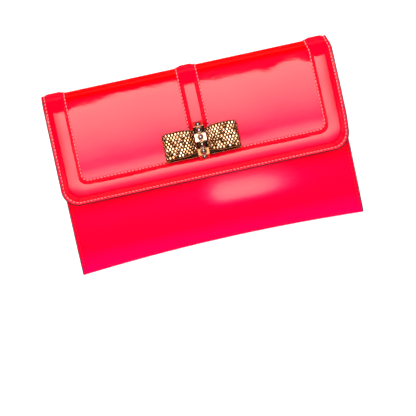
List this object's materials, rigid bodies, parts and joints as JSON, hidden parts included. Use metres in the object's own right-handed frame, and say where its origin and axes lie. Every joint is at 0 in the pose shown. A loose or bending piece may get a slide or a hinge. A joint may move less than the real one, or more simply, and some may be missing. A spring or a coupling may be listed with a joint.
{
  "type": "clutch purse",
  "caption": "Envelope clutch purse in glossy red patent leather with a fold-over flap, padded bands, a mesh-and-stud metal bow and a hidden magnetic snap.",
  "frame": {"origin": "centre of the purse's outline, on the flat back face that it lies on", "axes": "+X along the width, to the right seen from the front; +Y from the bottom fold to the top fold; +Z out of the front face"},
  "size_m": [0.28, 0.172, 0.0338],
  "materials": {
    "patent_leather": "high-gloss patent, wet look",
    "lining_cloth": "matt woven lining",
    "stiffener": "pressed fibre board",
    "foam": "soft foam strip",
    "bow_mesh": "polished rose-gold mesh",
    "bow_metal": "polished rose gold",
    "snap_metal": "pale gold plate",
    "magnet": "dull grey magnet"
  },
  "bodies": {
    "pouch": {"back_panel": "patent_leather", "back_board": "stiffener", "back_lining": "lining_cloth", "slip_pocket": "lining_cloth", "bottom_fold": "patent_leather", "left_gusset": "patent_leather", "right_gusset": "patent_leather"},
    "front_wall": {"front_panel": "patent_leather", "front_board": "stiffener", "front_lining": "lining_cloth", "mouth_binding": "patent_leather", "snap_socket_base": "snap_metal", "snap_socket_magnet": "magnet", "snap_socket_cover": "snap_metal", "snap_socket_washer": "snap_metal"},
    "top_fold": {"top_fold": "patent_leather", "top_fold_lining": "lining_cloth", "left_band_wrap": "patent_leather", "right_band_wrap": "patent_leather", "centre_band_wrap": "patent_leather"},
    "flap": {"flap_panel": "patent_leather", "flap_board": "stiffener", "flap_lining": "lining_cloth", "flap_border_band": "patent_leather", "border_padding": "foam", "flap_centre_band": "patent_leather", "centre_padding": "foam", "snap_stud": "snap_metal", "snap_stud_washer": "snap_metal", "bow_base_plate": "bow_metal", "bow_post_washers": "bow_metal", "bow_left_loop": "bow_mesh", "bow_right_loop": "bow_mesh", "bow_knot_band": "bow_metal", "bow_knot_studs": "bow_metal"}
  },
  "joints": [
    {"name": "lower_crease", "type": "hinge", "parent": "pouch", "child": "top_fold", "pos_m": [0, 0.082, 0.0006], "axis": [-1, 0, 0], "range_deg": [0, 70]},
    {"name": "upper_crease", "type": "hinge", "parent": "top_fold", "child": "flap", "pos_m": [0, 0.082, 0.0226], "axis": [-1, 0, 0], "range_deg": [0, 100]},
    {"name": "mouth_opening", "type": "hinge", "parent": "pouch", "child": "front_wall", "pos_m": [0, -0.0786, 0.0088], "axis": [1, 0, 0], "range_deg": [0, 6]}
  ],
  "couplings": [
    {"joint": "upper_crease", "follows": "lower_crease", "ratio": 1.4285},
    {"joint": "mouth_opening", "follows": "lower_crease", "ratio": 0.0857}
  ]
}
